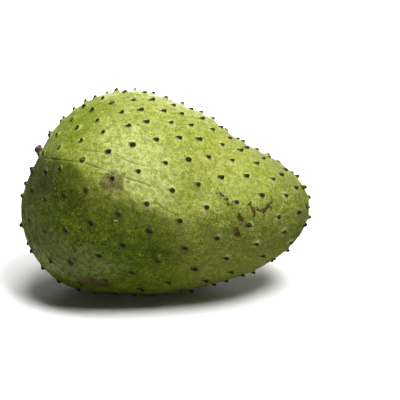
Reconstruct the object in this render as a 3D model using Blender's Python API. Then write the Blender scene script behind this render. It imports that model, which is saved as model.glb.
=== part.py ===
"""A whole soursop lying on its side: one spiny fruit, and the woody stub of its stem.

Run it in Blender 4.5 with blender --background --python part.py, or from the Text Editor.
X runs along the fruit, from the stem end (-X) to the blossom tip (+X). Z is up, and it rests on z = 0.

The bare skin is a distance from the fruit's middle for every direction, worked out by formula. A net of
points over those directions gives the mesh: rings of points rise out of the skin into the spines or drop
into the stem's socket, and plain points fill the skin between them. Flattening the directions onto a plane
through the point that the fruit rests on lets Blender's own Delaunay triangulation join them up.
"""

from math import cos, pi, radians, sin, sqrt

import bpy
import bmesh
import numpy as np
from mathutils import Vector
from mathutils.geometry import delaunay_2d_cdt

MM = 0.001
GOLDEN_ANGLE = pi * (3 - sqrt(5))
DOWN = np.array([0.0, 0.0, -1.0])
FRONT = np.array([0.0, -1.0, 0.0])

# The fruit's side outline: distances from its middle, at even angles from the tip up over the top.
CENTRE_HEIGHT = 66.5 * MM
OUTLINE = MM * np.array([
    118, 87.5, 76, 71.5, 74, 75.5, 75, 75.5,
    81.5, 84.5, 81, 71.5, 68.3, 72.5, 82, 106,
])
HALF_WIDTH_FRONT = 72 * MM
HALF_WIDTH_BACK = 70 * MM

# Where the stem and the tip are, as an angle up from +X and an angle to the back.
STEM_PLACE = (radians(158), radians(10))
TIP_PLACE = (radians(-9), 0)
STEM_DIMPLE_DEPTH = 3 * MM
STEM_DIMPLE_REACH = 0.17

# Two soft folds run lengthwise. A share of the length runs from 0 at the stem to 1 at the tip, and an
# angle round the fruit from 0 at the top to 90 degrees at the front. The front fold slopes gently above
# and steeply below. Each fold rises over its first two shares of the length and sinks over its last two.
FRONT_FOLD_START, FRONT_FOLD_TURN = radians(58.5), radians(32)
FRONT_FOLD_ENDS = (0.06, 0.25, 0.55, 0.85)
FRONT_FOLD_HEIGHT = 4 * MM
FRONT_FOLD_ABOVE = 20 * MM
FRONT_FOLD_BELOW = 12 * MM
LOW_FOLD_PLACE, LOW_FOLD_START, LOW_FOLD_CURVE = 0.19, radians(138), 7.7
LOW_FOLD_ENDS = (0.08, 0.18, 0.33, 0.5)
LOW_FOLD_HEIGHT = 2.2 * MM
LOW_FOLD_WIDTH = 7 * MM
FOLD_SOFTNESS = 2 * MM
GIRTH = 70 * MM

LUMP_HEIGHT = 0.4 * MM
LUMP_PACE = 3.2
LUMP_COUNT = 14
LUMP_SEED = 5

# How finely the skin is felt for its area and its slope.
AREA_BANDS = 200
AREA_ROUNDS = 36
SLOPE_STEP = 2e-3

# Spines sit on a golden-angle spiral. They crowd a little towards both ends, and away from the stem two
# gentle waves round the fruit set them wider on the front of the bulge and closer on the top.
SPINE_COUNT = 290
SPINE_SEED = 11
SPINE_START = 3.097
SPINE_TURN = -1
STEM_CROWDING, STEM_CROWD_REACH = 0.99, 0.11
TIP_CROWDING, TIP_CROWD_REACH = 0.34, 0.15
WAVE_ONE, WAVE_ONE_PLACE = 0.25, 5.782
WAVE_TWO, WAVE_TWO_PLACE = 0.087, 2.198
WAVE_RISE = (0.08, 0.15)
SPINE_SCATTER = 0.8 * MM
SPINE_BASE = 2.2 * MM
SPINE_HEIGHT = 2.1 * MM
HEIGHT_SPREAD = (0.8, 1.2)
SPINE_LEAN = 1.2 * MM
BROKEN_SHARE = 0.1
BROKEN_HEIGHT = 0.55
SHORTEST_SPINE = 0.9 * MM
FLOOR_GAP = 0.3 * MM
STEM_CLEARANCE = 8.5 * MM
REST_CLEARANCE = 0.9 * MM
SPINE_SIDES = 6
# Each ring of a spine: its share of the base radius and of the height.
SPINE_RINGS = ((1, 0), (0.62, 0.36), (0.38, 0.72))
BROKEN_RINGS = ((1, 0), (0.66, 0.6), (0.46, 1))

FILL_COUNT = 730
FILL_CLEARANCE = 4.2 * MM

# The stem's socket in the fruit: radius and depth of each ring, then the depth of its floor.
SOCKET_SIDES = 12
SOCKET_RINGS = ((5.2 * MM, 0), (3.7 * MM, 0.35 * MM), (3.4 * MM, 3 * MM))

# The stem: distance along it from the skin, and radius there. Its root sits in the socket.
STEM_PROFILE = MM * np.array([
    (-2.6, 2.9), (0.4, 2.9), (0.8, 3.6), (1.6, 3.4),
    (3.0, 2.9), (5.5, 2.7), (7.2, 2.9), (8.4, 2.4), (8.9, 1.5),
])
STEM_BEND = radians(20)

SKIN_COLOUR, SKIN_ROUGHNESS = (0.29, 0.35, 0.055), 0.45
STEM_COLOUR, STEM_ROUGHNESS = (0.27, 0.16, 0.11), 0.8


def unit(vectors):
    return vectors / np.linalg.norm(vectors, axis=-1, keepdims=True)


def smooth_step(start, end, values):
    share = np.clip((values - start) / (end - start), 0, 1)
    return share * share * (3 - 2 * share)


def towards(angle_up, angle_back):
    return np.array([
        cos(angle_up) * cos(angle_back), sin(angle_back), sin(angle_up) * cos(angle_back)
    ])


STEM_DIRECTION = towards(*STEM_PLACE)
TIP_DIRECTION = towards(*TIP_PLACE)


def spline_weights(values):
    """Control values of the closed cubic spline that passes through the given values."""
    count = len(values)
    rows = np.eye(count) * 4 + np.roll(np.eye(count), 1, 0) + np.roll(np.eye(count), -1, 0)
    return np.linalg.solve(rows / 6, values)


def closed_spline(weights, angles):
    place = np.mod(angles / (2 * pi), 1) * len(weights)
    first = np.floor(place).astype(int)
    f = place - first
    shares = (
        (1 - f) ** 3 / 6,
        (3 * f**3 - 6 * f**2 + 4) / 6,
        (-3 * f**3 + 3 * f**2 + 3 * f + 1) / 6,
        f**3 / 6,
    )
    return sum(share * weights[(first + i - 1) % len(weights)] for i, share in enumerate(shares))


OUTLINE_WEIGHTS = spline_weights(OUTLINE)


def axes_at(along):
    """The fruit's slightly bent long axis at each share of its length, with its up and front directions."""
    share = along[:, None]
    axis = unit(-STEM_DIRECTION * (1 - share) + TIP_DIRECTION * share)
    front = unit(FRONT - (axis @ FRONT)[:, None] * axis)
    return axis, np.cross(front, axis), front


def direction_at(along, around):
    """Directions from the middle, from a share of the length and an angle round the fruit."""
    axis, up, front = axes_at(along)
    turn = pi * along[:, None]
    outwards = np.cos(around)[:, None] * up + np.sin(around)[:, None] * front
    return unit(np.sin(turn) * outwards - np.cos(turn) * axis)


def place_of(directions):
    """The share of the length and the angle round the fruit, from directions."""
    along = np.full(len(directions), 0.5)
    for _ in range(5):
        axis, up, front = axes_at(along)
        along = np.arccos(np.clip(-(directions * axis).sum(1), -1, 1)) / pi
    return along, np.arctan2((directions * front).sum(1), (directions * up).sum(1))


def tent(offset, width):
    """A rounded tent over each offset from its ridge, falling away over the given width."""
    return np.exp(-np.hypot(offset, FOLD_SOFTNESS) / width)


def between(ends, along):
    """1 along the middle of a fold and 0 beyond its ends."""
    return smooth_step(ends[0], ends[1], along) * (1 - smooth_step(ends[2], ends[3], along))


def folds(directions):
    """Height of the two lengthwise folds: one across the front, and one low on the stem end."""
    along, around = place_of(directions)
    girth = GIRTH * np.sin(pi * along)
    offset = girth * (around - FRONT_FOLD_START - FRONT_FOLD_TURN * along)
    below = smooth_step(-FOLD_SOFTNESS, FOLD_SOFTNESS, offset)
    width = FRONT_FOLD_ABOVE * (1 - below) + FRONT_FOLD_BELOW * below
    front = FRONT_FOLD_HEIGHT * tent(offset, width)
    offset = girth * (around - LOW_FOLD_START - LOW_FOLD_CURVE * (along - LOW_FOLD_PLACE) ** 2)
    low = LOW_FOLD_HEIGHT * tent(offset, LOW_FOLD_WIDTH)
    return between(FRONT_FOLD_ENDS, along) * front + between(LOW_FOLD_ENDS, along) * low


def lumps(directions):
    """Broad uneven swellings, as a sum of waves in seeded directions."""
    random = np.random.RandomState(LUMP_SEED)
    total = 0
    for _ in range(LUMP_COUNT):
        wave = random.normal(size=3) * LUMP_PACE
        total = total + np.sin(directions @ wave + random.uniform(0, 2 * pi))
    return LUMP_HEIGHT * total


def bare_skin(directions):
    """Points of the skin in the given directions, before the fruit settles on its resting face."""
    across = np.hypot(directions[:, 0], directions[:, 2])
    outline = closed_spline(OUTLINE_WEIGHTS, np.arctan2(directions[:, 2], directions[:, 0]))
    half_width = np.where(directions[:, 1] < 0, HALF_WIDTH_FRONT, HALF_WIDTH_BACK)
    distance = 1 / np.hypot(across / outline, directions[:, 1] / half_width)
    from_stem = np.arccos(np.clip(directions @ STEM_DIRECTION, -1, 1))
    dimple = STEM_DIMPLE_DEPTH * np.exp(-((from_stem / STEM_DIMPLE_REACH) ** 2))
    distance = distance + folds(directions) + lumps(directions) - dimple
    return directions * distance[:, None] + (0, 0, CENTRE_HEIGHT)


def skin(directions):
    points = bare_skin(directions)
    points[:, 2] = np.maximum(points[:, 2], 0)
    return points


def side_steps(directions):
    """Two directions square to each direction and to each other."""
    first = unit(np.cross(directions, np.roll(np.eye(3), 1, 0)[np.abs(directions).argmin(1)]))
    return first, np.cross(directions, first)


def outward(directions):
    """The skin's outward normals."""
    edges = [
        bare_skin(unit(directions + SLOPE_STEP * side)) - bare_skin(unit(directions - SLOPE_STEP * side))
        for side in side_steps(directions)
    ]
    return unit(np.cross(*edges))


def aim_at(points):
    """Directions from the middle to points."""
    return unit(points - (0, 0, CENTRE_HEIGHT))


def spiral(count, start=0, turn=1, crowding=(0, 0), shifts=(0, 0)):
    """A golden-angle spiral of directions from stem to tip, spread evenly over the skin's area at first.

    crowding packs it at the stem and the tip. shifts move it round the fruit, once and twice a turn.
    """
    bands = (np.arange(AREA_BANDS) + 0.5) / AREA_BANDS
    rounds = 2 * pi * (np.arange(AREA_ROUNDS) + 0.5) / AREA_ROUNDS
    along, around = (grid.ravel() for grid in np.meshgrid(bands, rounds, indexing="ij"))
    points = bare_skin(direction_at(along, around)).reshape(AREA_BANDS, AREA_ROUNDS, 3)
    lengthwise = np.gradient(points, bands, axis=0)
    sideways = np.roll(points, -1, 1) - np.roll(points, 1, 1)
    area = np.linalg.norm(np.cross(lengthwise, sideways), axis=2).mean(1)
    area *= 1 + crowding[0] * np.exp(-((bands / STEM_CROWD_REACH) ** 2))
    area *= 1 + crowding[1] * np.exp(-(((1 - bands) / TIP_CROWD_REACH) ** 2))
    covered = np.concatenate([[0], np.cumsum(area)]) / area.sum()
    along = np.interp((np.arange(count) + 0.5) / count, covered, np.linspace(0, 1, len(covered)))
    around = start + turn * GOLDEN_ANGLE * np.arange(count)
    shift = shifts[0] * np.sin(around - WAVE_ONE_PLACE + pi)
    shift += shifts[1] * np.sin(2 * (around - WAVE_TWO_PLACE))
    return direction_at(along, around + smooth_step(*WAVE_RISE, along) * shift)


class Net:
    """Points of a closed skin, each with the direction that places it among its neighbours."""

    def __init__(self):
        self.directions, self.points, self.edges = [], [], []
        self.count = 0

    def add(self, directions, points):
        self.directions.append(directions)
        self.points.append(points)
        self.count += len(points)

    def add_ring(self, directions, points):
        ring = self.count + np.arange(len(points))
        self.edges += list(zip(ring.tolist(), np.roll(ring, -1).tolist()))
        self.add(directions, points)

    def faces(self):
        """Triangles over the whole net. The last point has to be the one straight down."""
        directions = np.concatenate(self.directions)[:-1]
        flat = directions[:, :2] / (1 + directions[:, 2:])
        found = delaunay_2d_cdt([Vector(pair) for pair in flat], self.edges, [], 0, 1e-7)
        source = [first[0] for first in found[3]]
        faces = [[source[corner] for corner in face] for face in found[2]]
        sides = {(face[i - 1], face[i]) for face in faces for i in range(3)}
        rim = [(a, b) for a, b in sides if (b, a) not in sides]
        return faces + [[b, a, self.count - 1] for a, b in rim]


def spine_places():
    """Directions, heights and breaks of the spines, apart from those crowded out by the stem or the floor."""
    random = np.random.RandomState(SPINE_SEED)
    directions = spiral(
        SPINE_COUNT, SPINE_START, SPINE_TURN, (STEM_CROWDING, TIP_CROWDING), (WAVE_ONE, WAVE_TWO)
    )
    scatter = random.normal(size=(SPINE_COUNT, 3)) * SPINE_SCATTER
    directions = aim_at(bare_skin(directions) + scatter)
    heights = SPINE_HEIGHT * random.uniform(*HEIGHT_SPREAD, SPINE_COUNT)
    broken = random.uniform(size=SPINE_COUNT) < BROKEN_SHARE
    heights[broken] *= BROKEN_HEIGHT
    feet, normals = bare_skin(directions), outward(directions)
    room = (feet[:, 2] - FLOOR_GAP) / np.maximum(-normals[:, 2], 1e-6)
    heights = np.minimum(heights, np.where(normals[:, 2] < 0, room, heights))
    from_stem = np.linalg.norm(feet - skin(STEM_DIRECTION[None]), axis=1)
    kept = (heights > SHORTEST_SPINE) & (from_stem > STEM_CLEARANCE) & (feet[:, 2] > REST_CLEARANCE)
    return directions[kept], heights[kept], broken[kept]


def ring_of(centre, sides, radius, sideways):
    """Directions of the points of a ring round a point of the skin."""
    turns = 2 * pi * np.arange(sides) / sides
    first, second = sideways
    around = np.cos(turns)[:, None] * first + np.sin(turns)[:, None] * second
    return aim_at(centre + radius * around)


def add_spines(net):
    directions, heights, broken = spine_places()
    feet, normals = skin(directions), outward(directions)
    tipwards = TIP_DIRECTION - (normals @ TIP_DIRECTION)[:, None] * normals
    steepness = np.linalg.norm(tipwards, axis=1, keepdims=True)
    leans = SPINE_LEAN * tipwards * np.minimum(1, steepness) / np.maximum(steepness, 1e-6)
    for foot, normal, lean, height, blunt in zip(feet, normals, leans, heights, broken):
        sideways = [side[0] for side in side_steps(normal[None])]
        for width, rise in BROKEN_RINGS if blunt else SPINE_RINGS:
            ring = ring_of(foot, SPINE_SIDES, SPINE_BASE * width, sideways)
            offset = rise * height * normal + rise**1.5 * (0 if blunt else 1) * lean
            net.add_ring(ring, skin(ring) + offset)
        net.add(aim_at(foot[None]), (foot + height * normal + (0 if blunt else 1) * lean)[None])
    return feet


def add_socket(net):
    foot, normal = skin(STEM_DIRECTION[None])[0], outward(STEM_DIRECTION[None])[0]
    sideways = [side[0] for side in side_steps(normal[None])]
    for radius, depth in SOCKET_RINGS:
        ring = ring_of(foot, SOCKET_SIDES, radius, sideways)
        net.add_ring(ring, skin(ring) - depth * normal)
    net.add(aim_at(foot[None]), (foot - SOCKET_RINGS[-1][1] * normal)[None])
    return foot, normal


def add_fill(net, feet, stem_foot):
    """Plain skin between the spines, then the point straight down that closes the net."""
    directions = spiral(FILL_COUNT)
    points = skin(directions)
    nearest = np.min([np.linalg.norm(points - foot, axis=1) for foot in feet], axis=0)
    from_stem = np.linalg.norm(points - stem_foot, axis=1)
    kept = (nearest > FILL_CLEARANCE) & (from_stem > STEM_CLEARANCE)
    net.add(directions[kept], points[kept])
    net.add(DOWN[None], skin(DOWN[None]))


def principled(name, colour, roughness):
    material = bpy.data.materials.new(name)
    material.use_nodes = True
    shader = material.node_tree.nodes["Principled BSDF"]
    shader.inputs["Base Color"].default_value = (*colour, 1)
    shader.inputs["Roughness"].default_value = roughness
    material.diffuse_color = (*colour, 1)
    return material


def make_fruit(collection):
    """The fruit as one closed skin. It returns the object and the stem's foot and direction."""
    net = Net()
    feet = add_spines(net)
    stem_foot, stem_axis = add_socket(net)
    add_fill(net, feet, stem_foot)
    mesh = bpy.data.meshes.new("fruit")
    mesh.from_pydata(np.concatenate(net.points).tolist(), [], net.faces())
    tidy = bmesh.new()
    tidy.from_mesh(mesh)
    bmesh.ops.recalc_face_normals(tidy, faces=tidy.faces)
    tidy.to_mesh(mesh)
    tidy.free()
    fruit = bpy.data.objects.new("fruit", mesh)
    mesh.materials.append(principled("skin", SKIN_COLOUR, SKIN_ROUGHNESS))
    collection.objects.link(fruit)
    return fruit, stem_foot, stem_axis


def make_stem(collection, foot, axis):
    """The stem stub: a tube of changing radius along a line that bends upwards."""
    upwards = unit(np.array([0, 0, 1.0]) - axis[2] * axis)
    curve = bpy.data.curves.new("stem", "CURVE")
    curve.dimensions = "3D"
    curve.bevel_depth = 1
    curve.bevel_resolution = 4
    curve.use_fill_caps = True
    line = curve.splines.new("POLY")
    line.points.add(len(STEM_PROFILE) - 1)
    length = STEM_PROFILE[-1, 0]
    for point, (distance, radius) in zip(line.points, STEM_PROFILE):
        bend = STEM_BEND * max(distance, 0) / length
        place = foot + distance * (cos(bend) * axis + sin(bend) * upwards)
        point.co = (*place, 1)
        point.radius = radius
    stem = bpy.data.objects.new("stem", curve)
    curve.materials.append(principled("stem", STEM_COLOUR, STEM_ROUGHNESS))
    collection.objects.link(stem)
    return stem


def centre_on_origin(objects):
    """Moves the objects so that their box is centred on X = Y = 0. They already stand on z = 0."""
    bpy.context.view_layer.update()
    graph = bpy.context.evaluated_depsgraph_get()
    corners = []
    for piece in objects:
        mesh = piece.evaluated_get(graph).to_mesh()
        corners += [piece.matrix_world @ vertex.co for vertex in mesh.vertices]
    corners = np.array(corners)
    middle = (corners.min(0) + corners.max(0)) / 2
    for piece in objects:
        piece.location = (-middle[0], -middle[1], 0)


def main():
    for leftover in list(bpy.data.objects):
        bpy.data.objects.remove(leftover)
    collection = bpy.data.collections.new("soursop")
    bpy.context.scene.collection.children.link(collection)
    fruit, stem_foot, stem_axis = make_fruit(collection)
    stem = make_stem(collection, stem_foot, stem_axis)
    centre_on_origin([fruit, stem])


main()
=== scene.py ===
"""A whole soursop on a white table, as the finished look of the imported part.

The fruit is one fine closed skin that replaces the plain solid of the same shape, and the stem stub a fine
tube that replaces the plain stub. The shape comes from the same formulas and values as the part's source,
in metres: a distance from the fruit's middle for every direction, with the spines raised out of it. Here
the net of points is finer, and the skin gets its low relief and its colours.
X runs along the fruit, from the stem (-X) to the blossom tip (+X). Z is up, and the camera looks from -Y.
"""

from math import cos, pi, radians, sin, sqrt

import bpy
import numpy as np
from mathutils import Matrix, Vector, noise
from mathutils.geometry import delaunay_2d_cdt

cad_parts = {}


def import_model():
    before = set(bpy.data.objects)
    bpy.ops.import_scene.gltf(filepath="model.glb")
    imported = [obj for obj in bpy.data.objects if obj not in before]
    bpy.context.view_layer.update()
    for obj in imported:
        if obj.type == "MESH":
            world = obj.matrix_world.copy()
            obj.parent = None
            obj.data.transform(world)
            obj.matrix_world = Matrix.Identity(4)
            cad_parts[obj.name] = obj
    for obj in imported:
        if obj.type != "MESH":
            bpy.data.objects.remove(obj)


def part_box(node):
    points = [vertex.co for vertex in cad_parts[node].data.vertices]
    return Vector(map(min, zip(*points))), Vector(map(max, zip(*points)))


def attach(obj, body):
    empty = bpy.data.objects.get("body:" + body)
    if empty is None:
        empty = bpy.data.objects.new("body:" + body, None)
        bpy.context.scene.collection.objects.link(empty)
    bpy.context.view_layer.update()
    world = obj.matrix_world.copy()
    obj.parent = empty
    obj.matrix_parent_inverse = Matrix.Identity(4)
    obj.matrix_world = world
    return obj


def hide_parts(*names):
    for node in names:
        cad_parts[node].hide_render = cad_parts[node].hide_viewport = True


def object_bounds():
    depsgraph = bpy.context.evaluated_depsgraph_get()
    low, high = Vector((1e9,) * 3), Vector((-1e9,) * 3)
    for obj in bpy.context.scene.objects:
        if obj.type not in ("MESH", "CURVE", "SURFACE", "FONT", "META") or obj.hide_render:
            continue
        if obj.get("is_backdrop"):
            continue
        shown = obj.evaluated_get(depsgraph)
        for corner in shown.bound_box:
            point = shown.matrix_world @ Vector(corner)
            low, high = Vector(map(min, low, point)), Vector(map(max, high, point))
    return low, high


MM = 0.001
GOLDEN_ANGLE = pi * (3 - sqrt(5))
DOWN = np.array([0.0, 0.0, -1.0])
FRONT = np.array([0.0, -1.0, 0.0])

# The shape, as the part's source has it.
CENTRE_HEIGHT = 66.5 * MM
OUTLINE = MM * np.array([
    118, 87.5, 76, 71.5, 74, 75.5, 75, 75.5,
    81.5, 84.5, 81, 71.5, 68.3, 72.5, 82, 106,
])
HALF_WIDTH_FRONT = 72 * MM
HALF_WIDTH_BACK = 70 * MM
STEM_PLACE = (radians(158), radians(10))
TIP_PLACE = (radians(-9), 0)
STEM_DIMPLE_DEPTH = 3 * MM
STEM_DIMPLE_REACH = 0.17
FRONT_FOLD_START, FRONT_FOLD_TURN = radians(58.5), radians(32)
FRONT_FOLD_ENDS = (0.06, 0.25, 0.55, 0.85)
FRONT_FOLD_HEIGHT = 4 * MM
FRONT_FOLD_ABOVE = 20 * MM
FRONT_FOLD_BELOW = 12 * MM
LOW_FOLD_PLACE, LOW_FOLD_START, LOW_FOLD_CURVE = 0.19, radians(138), 7.7
LOW_FOLD_ENDS = (0.08, 0.18, 0.33, 0.5)
LOW_FOLD_HEIGHT = 2.2 * MM
LOW_FOLD_WIDTH = 7 * MM
FOLD_SOFTNESS = 2 * MM
GIRTH = 70 * MM
LUMP_HEIGHT = 0.4 * MM
LUMP_PACE = 3.2
LUMP_COUNT = 14
LUMP_SEED = 5
AREA_BANDS = 200
AREA_ROUNDS = 36
SLOPE_STEP = 2e-3
SPINE_COUNT = 290
SPINE_SEED = 11
SPINE_START = 3.097
SPINE_TURN = -1
STEM_CROWDING, STEM_CROWD_REACH = 0.99, 0.11
TIP_CROWDING, TIP_CROWD_REACH = 0.34, 0.15
WAVE_ONE, WAVE_ONE_PLACE = 0.25, 5.782
WAVE_TWO, WAVE_TWO_PLACE = 0.087, 2.198
WAVE_RISE = (0.08, 0.15)
SPINE_SCATTER = 0.8 * MM
SPINE_BASE = 2.2 * MM
SPINE_HEIGHT = 2.1 * MM
HEIGHT_SPREAD = (0.8, 1.2)
SPINE_LEAN = 1.2 * MM
BROKEN_SHARE = 0.1
BROKEN_HEIGHT = 0.55
SHORTEST_SPINE = 0.9 * MM
FLOOR_GAP = 0.3 * MM
STEM_CLEARANCE = 8.5 * MM
REST_CLEARANCE = 0.9 * MM
STEM_BEND = radians(20)

# The finer net, which is finest along the marked lines.
FILL_COUNT = 44000
FILL_CLEARANCE = 3.8 * MM
FINE_COUNT = 300000
FINE_REACH = 1.6 * MM
LINE_SPACING = 0.5 * MM
LINE_STEPS = 40
MOST_PAIRS = 4000000

# Each ring of a spine: its share of the base radius and of the height, from the skin round it to the tip.
SPINE_SIDES = 14
SPINE_SKIRT = ((1.5, 0), (1.24, 0.015))
SPINE_RINGS = (
    (1, 0.06), (0.84, 0.18), (0.7, 0.34), (0.58, 0.52), (0.48, 0.7), (0.37, 0.86), (0.2, 0.97),
)
BROKEN_RINGS = (
    (1, 0.1), (0.84, 0.35), (0.7, 0.65), (0.6, 0.88), (0.48, 1.0), (0.3, 0.93), (0.14, 0.86),
)
BROKEN_TIP = 0.84
SKIRT_GAP = 0.3 * MM
# The most of the way to the next spine that a foot covers, and the share of the source's lean that is kept.
SPINE_SHARE = 0.42
LEAN_SHARE = 0.65
LEAN_POWER = 1.5
# Each spine's own width, its stretch one way, its flutes, and how ragged a broken one's top is.
SPINE_SHAPE_SEED = 21
WIDTH_SPREAD = (0.88, 1.12)
STRETCH_SPREAD = (0, 0.12)
FLUTES, FLUTE_SPREAD = 5, (0.02, 0.07)
RAGGED_SHARE, RAGGED_FROM = 0.12, 0.8

SOCKET_SIDES = 40
SOCKET_RINGS = MM * np.array([
    (5.7, 0.02), (5.2, 0.1), (4.8, 0.25), (4.4, 0.5), (4.0, 0.9),
    (3.7, 1.6), (3.5, 2.4), (3.3, 3.0), (1.8, 3.1),
])

# Relief that the plain solid leaves out. A border runs between each spine's patch of skin and the next.
BORDER_DEPTH = 0.28 * MM
BORDER_WIDTH = 1.5 * MM
PATCH_SWELL = 0.22 * MM
PATCH_REACH = 6 * MM
CREASE_DEPTH = 0.5 * MM
CREASE_WIDTH = 0.45 * MM
SCAR_DEPTH = 0.5 * MM
SCAR_WIDTH = 1.3 * MM
SCAR_ROUGHNESS, SCAR_LUMPS = 0.6, 1.5 * MM
# Borders and patches fade out between these millimetres from the stem.
STEM_FADE = (6, 12)
# Each size of ripple, and its depth.
RIPPLES = ((9 * MM, 0.22 * MM), (3.6 * MM, 0.09 * MM))

# Marks on the skin, each as places along a line: a share of the length, and degrees round the fruit.
LINES = {
    "crease": (
        ((0.16, 71), (0.25, 68), (0.31, 66), (0.38, 65), (0.45, 66), (0.53, 66)),
        ((0.32, 58), (0.37, 57), (0.42, 56), (0.48, 58), (0.52, 57)),
        ((0.38, 50), (0.46, 50)),
        ((0.54, 75), (0.57, 74), (0.60, 76), (0.64, 78)),
    ),
    "scar": (
        ((0.72, 60), (0.73, 60), (0.745, 65)),
        ((0.755, 66), (0.77, 70), (0.785, 75)),
        ((0.79, 63), (0.805, 67), (0.82, 65), (0.83, 62), (0.84, 55)),
        ((0.77, 80), (0.78, 84)),
    ),
    "spot": (
        ((0.334, 86), (0.336, 86)),
        ((0.442, 78), (0.444, 78)),
        ((0.652, 72), (0.654, 72)),
        ((0.3, -70), (0.302, -70)),
    ),
    "chip": (((0.472, 88), (0.481, 87.5)),),
}
CREASE_SHARES = (1.0, 0.75, 0.4, 0.7)
# The scab is on the front: its place, its reach along and up, and the mark that means there is none.
SCAB_PLACE = (0.445, 69.5)
SCAB_REACH = (9 * MM, 6.5 * MM)
NO_SCAB = 9

# Broad patches of colour, each a place along and round the fruit, the reach of both and the strength.
PATCHES = {
    "green": (
        (0.20, 46, 0.11, 28, 1.1), (0.24, 59, 0.05, 9, 0.8), (0.31, 20, 0.09, 18, 0.5),
        (0.34, 71, 0.05, 5, 0.7), (0.30, -60, 0.14, 40, 0.8),
    ),
    "leaf": (
        (0.84, 84, 0.12, 22, 0.9), (0.74, 78, 0.08, 10, 0.7), (0.90, 44, 0.08, 34, 0.8),
        (0.98, 60, 0.10, 70, 0.6), (0.82, 0, 0.10, 20, 0.5), (0.62, 98, 0.10, 12, 0.5),
        (0.80, -90, 0.15, 30, 0.8),
    ),
    # Paler skin, partly a painted sheen on the upper front that faces the lights.
    "pale": (
        (0.47, 58, 0.12, 17, 0.85), (0.55, 68, 0.06, 8, 0.7), (0.42, 40, 0.10, 12, 0.3),
        (0.55, -50, 0.12, 20, 0.5),
    ),
    "olive": (
        (0.13, 98, 0.10, 26, 1.2), (0.24, 86, 0.07, 12, 0.7), (0.35, 89, 0.06, 11, 0.6),
        (0.61, 101, 0.06, 7, 0.6), (0.12, -110, 0.10, 30, 0.7),
    ),
    "teal": ((0.29, 128, 0.12, 19, 1.3), (0.45, 118, 0.10, 11, 0.8), (0.60, -140, 0.15, 20, 0.8)),
    # Painted reflection: a pale rim along the low fold on the stem end, where the skin turns down and aside.
    "pale_rim_reflection": (
        (0.17, 139, 0.04, 6, 0.7), (0.24, 143, 0.05, 6, 0.8), (0.31, 139, 0.04, 6, 0.6),
        (0.34, 133, 0.06, 8, 0.7),
    ),
    "blush": ((0.46, 133, 0.05, 5, 1.3), (0.62, -160, 0.06, 8, 0.6)),
}
# Shares of the length, each with a value: the angle where the bright skin of the front ends, how well the
# deeper green below it holds, which is partly painted shade under the front fold, and how much of the edge
# between them is crisp.
DARK_EDGE = ((0.12, 0.25, 0.31, 0.36, 0.45, 0.6, 0.73, 0.9), (71, 68, 65, 72, 77, 79, 83, 86))
DARK_HOLD = ((0.45, 0.6, 0.75, 1), (1, 0.85, 0.4, 0.3))
DARK_CRISP = ((0.3, 0.4, 0.48, 0.6, 0.65), (0.75, 0.3, 0.6, 0.55, 0.3))
# The millimetres below the edge over which the crisp share and the soft share of the skin darken to the
# deeper green and painted shade.
CRISP_EDGE, SOFT_EDGE = (-1.5, 2.5), (0, 30)
# Round to the back, between these sines of the angle, the deeper green and painted shade comes to start this
# many millimetres lower and to be weaker by this share.
BACK_FADE = (0.15, -0.4)
BACK_DROP, BACK_LOSS = 15, 0.4
# The fine streaks: how many fit along the fruit, and on its radius round it.
STREAKS_ALONG, STREAKS_ROUND = 6, 20
SPINE_TONE_SEED = 4

# How strongly each patch of skin covers what is under it, in the order that they are painted.
REGION_SHARES = {
    "green": 1.0, "leaf": 0.9, "pale": 0.9, "deep_green_and_shade": 1.0, "olive": 0.9, "teal": 0.85, "pale_rim_reflection": 0.7, "blush": 0.8,
}
# Colours as sRGB shares of 255.
COLOURS = {
    "skin_light": (158, 159, 78),
    "skin_dark": (142, 147, 58),
    "mottle": (130, 138, 42),
    "green": (118, 134, 10),
    "leaf": (108, 118, 40),
    # Paler skin, partly a painted sheen on the upper front.
    "pale": (172, 176, 104),
    # The deeper green below the front fold, partly painted shade.
    "deep_green_and_shade": (94, 112, 4),
    "olive": (62, 72, 8),
    "teal": (126, 136, 78),
    # A pale rim low on the stem end: painted reflection.
    "pale_rim_reflection": (166, 173, 108),
    "blush": (86, 64, 46),
    # Each pair: a copy for the bright skin, and a darker one, painted shade, for the deeper green below the
    # front fold.
    "blotch_on_dark": (140, 160, 96),
    "blotch_on_bright": (178, 196, 130),
    "pore_on_dark": (130, 146, 84),
    "pore_on_bright": (168, 180, 120),
    "stipple_on_dark": (158, 162, 52),
    "stipple_on_bright": (200, 200, 112),
    "streak": (150, 170, 110),
    "border": (190, 200, 150),
    # The ring round each spine: pale on the bright skin, brown as painted shade below the front fold.
    "ring_on_dark": (70, 62, 32),
    "ring_on_bright": (176, 180, 104),
    "tail": (58, 64, 18),
    "spine_black": (18, 20, 6),
    "spine_brown": (44, 45, 16),
    # Painted glints on the spines.
    "spine_glint": (72, 68, 34),
    "spine_break": (108, 98, 64),
    # Spines below the front fold, darkened as painted shade.
    "spine_in_shade": (30, 24, 12),
    # Painted shade along the crease grooves.
    "crease": (62, 72, 22),
    "scar_rim": (118, 104, 48),
    "scar_black": (30, 24, 10),
    "scar_brown": (70, 56, 28),
    "spot": (108, 72, 34),
    "chip": (206, 206, 160),
    "scab_red": (94, 62, 38),
    "scab_brown": (68, 60, 34),
    "bark_dark": (74, 42, 34),
    "bark_light": (100, 62, 50),
    "bark_stain": (70, 36, 36),
    "bark_fleck": (140, 116, 98),
}

# The stem: distance along it from the skin, and radius there. The last rows close its broken end.
STEM_PROFILE = MM * np.array([
    (-2.6, 2.7), (0.2, 2.9), (0.8, 3.5), (1.6, 3.4), (3.0, 2.9), (4.5, 2.65), (6.0, 2.7),
    (7.2, 2.9), (8.0, 2.75), (8.5, 2.3), (8.8, 1.7),
])
STEM_SIDES = 56
STEM_RINGS = 70
STEM_END_TUCK = 0.15 * MM
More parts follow.
